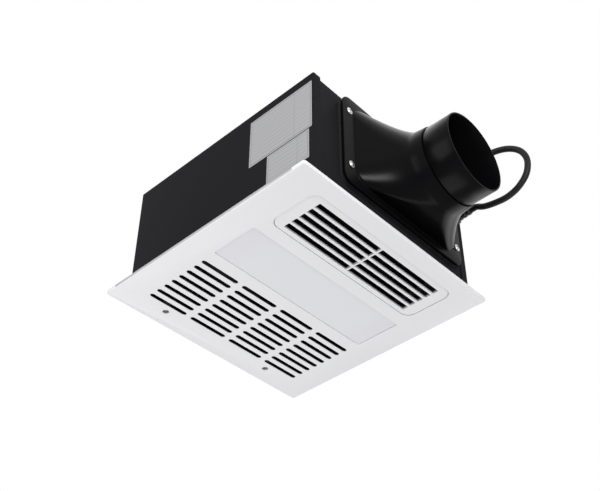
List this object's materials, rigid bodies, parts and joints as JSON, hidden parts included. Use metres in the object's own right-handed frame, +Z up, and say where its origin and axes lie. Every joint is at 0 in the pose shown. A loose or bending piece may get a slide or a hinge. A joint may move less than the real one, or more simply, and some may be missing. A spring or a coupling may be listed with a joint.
{
  "type": "bathroom heater exhaust fan",
  "caption": "Ceiling heater and exhaust fan: square white grille with light panel and louvred heat outlet, black steel housing, round duct outlet, supply cable.",
  "frame": {"origin": "centre of the square grille panel on the ceiling plane, which the back of the panel's rim touches", "axes": "+Z up into the ceiling, +X along the round duct outlet, +Y to the side where the supply cable leaves; the grille faces down"},
  "size_m": [0.4307, 0.32, 0.1858],
  "materials": {
    "painted_steel": "satin black baked paint",
    "zinc_sheet": "galvanised sheet",
    "white_plastic": "fine-grained white moulding",
    "frosted_lens": "frosted translucent sheet",
    "black_plastic": "semi-gloss black moulding",
    "black_rubber": "soft matt black",
    "foam": "closed-cell foam",
    "chrome_screw": "bright plated",
    "zinc_screw": "bright zinc",
    "steel_shaft": "ground",
    "aluminium_fins": "bare",
    "motor_can": "grey lacquer",
    "nylon": "natural nylon",
    "board": "white solder mask",
    "ceramic": "mica and ceramic filled moulding"
  },
  "bodies": {
    "housing": {"housing_shell": "painted_steel", "duct_panel": "painted_steel", "top_cover": "painted_steel", "duct_adapter": "black_plastic", "adapter_gasket": "foam", "adapter_screw_1": "zinc_screw", "adapter_screw_2": "zinc_screw", "adapter_screw_3": "zinc_screw", "adapter_screw_4": "zinc_screw", "damper_pin": "steel_shaft", "blower_scroll": "zinc_sheet", "scroll_inlet": "zinc_sheet", "blower_motor": "motor_can", "motor_plate": "zinc_sheet", "heater_casing": "zinc_sheet", "heater_core": "aluminium_fins", "core_block_1": "ceramic", "core_block_2": "ceramic", "heater_motor": "motor_can", "heater_bush": "black_rubber", "thermal_cutout": "black_plastic", "wiring_box": "zinc_sheet", "wiring_lid": "zinc_sheet", "terminal_block": "nylon", "cable_gland": "black_plastic", "gland_nut": "black_plastic", "power_cable": "black_rubber", "cable_coil": "black_rubber", "cable_tie": "nylon", "cable_leads": "black_rubber", "grille_panel": "white_plastic", "louvre_insert": "white_plastic", "light_lens": "frosted_lens", "light_tray": "white_plastic", "light_board": "board", "light_driver": "white_plastic", "panel_screw_1": "chrome_screw", "panel_screw_2": "chrome_screw", "screw_bracket_1": "zinc_sheet", "screw_bracket_2": "zinc_sheet"},
    "blower_rotor": {"blower_wheel": "black_plastic", "blower_shaft": "steel_shaft"},
    "heater_rotor": {"heater_roller": "aluminium_fins", "heater_rod": "steel_shaft"},
    "damper": {"damper_flap": "black_plastic"}
  },
  "joints": [
    {"name": "blower_spin", "type": "hinge", "parent": "housing", "child": "blower_rotor", "pos_m": [-0.056, -0.045, 0.0815], "axis": [0, 0, 1], "continuous": true},
    {"name": "heater_spin", "type": "hinge", "parent": "housing", "child": "heater_rotor", "pos_m": [0.118, 0, 0.0435], "axis": [0, 1, 0], "continuous": true},
    {"name": "damper_swing", "type": "hinge", "parent": "housing", "child": "damper", "pos_m": [0.215, 0.0123, 0.087], "axis": [0, -1, 0], "range_deg": [0, 70]}
  ]
}
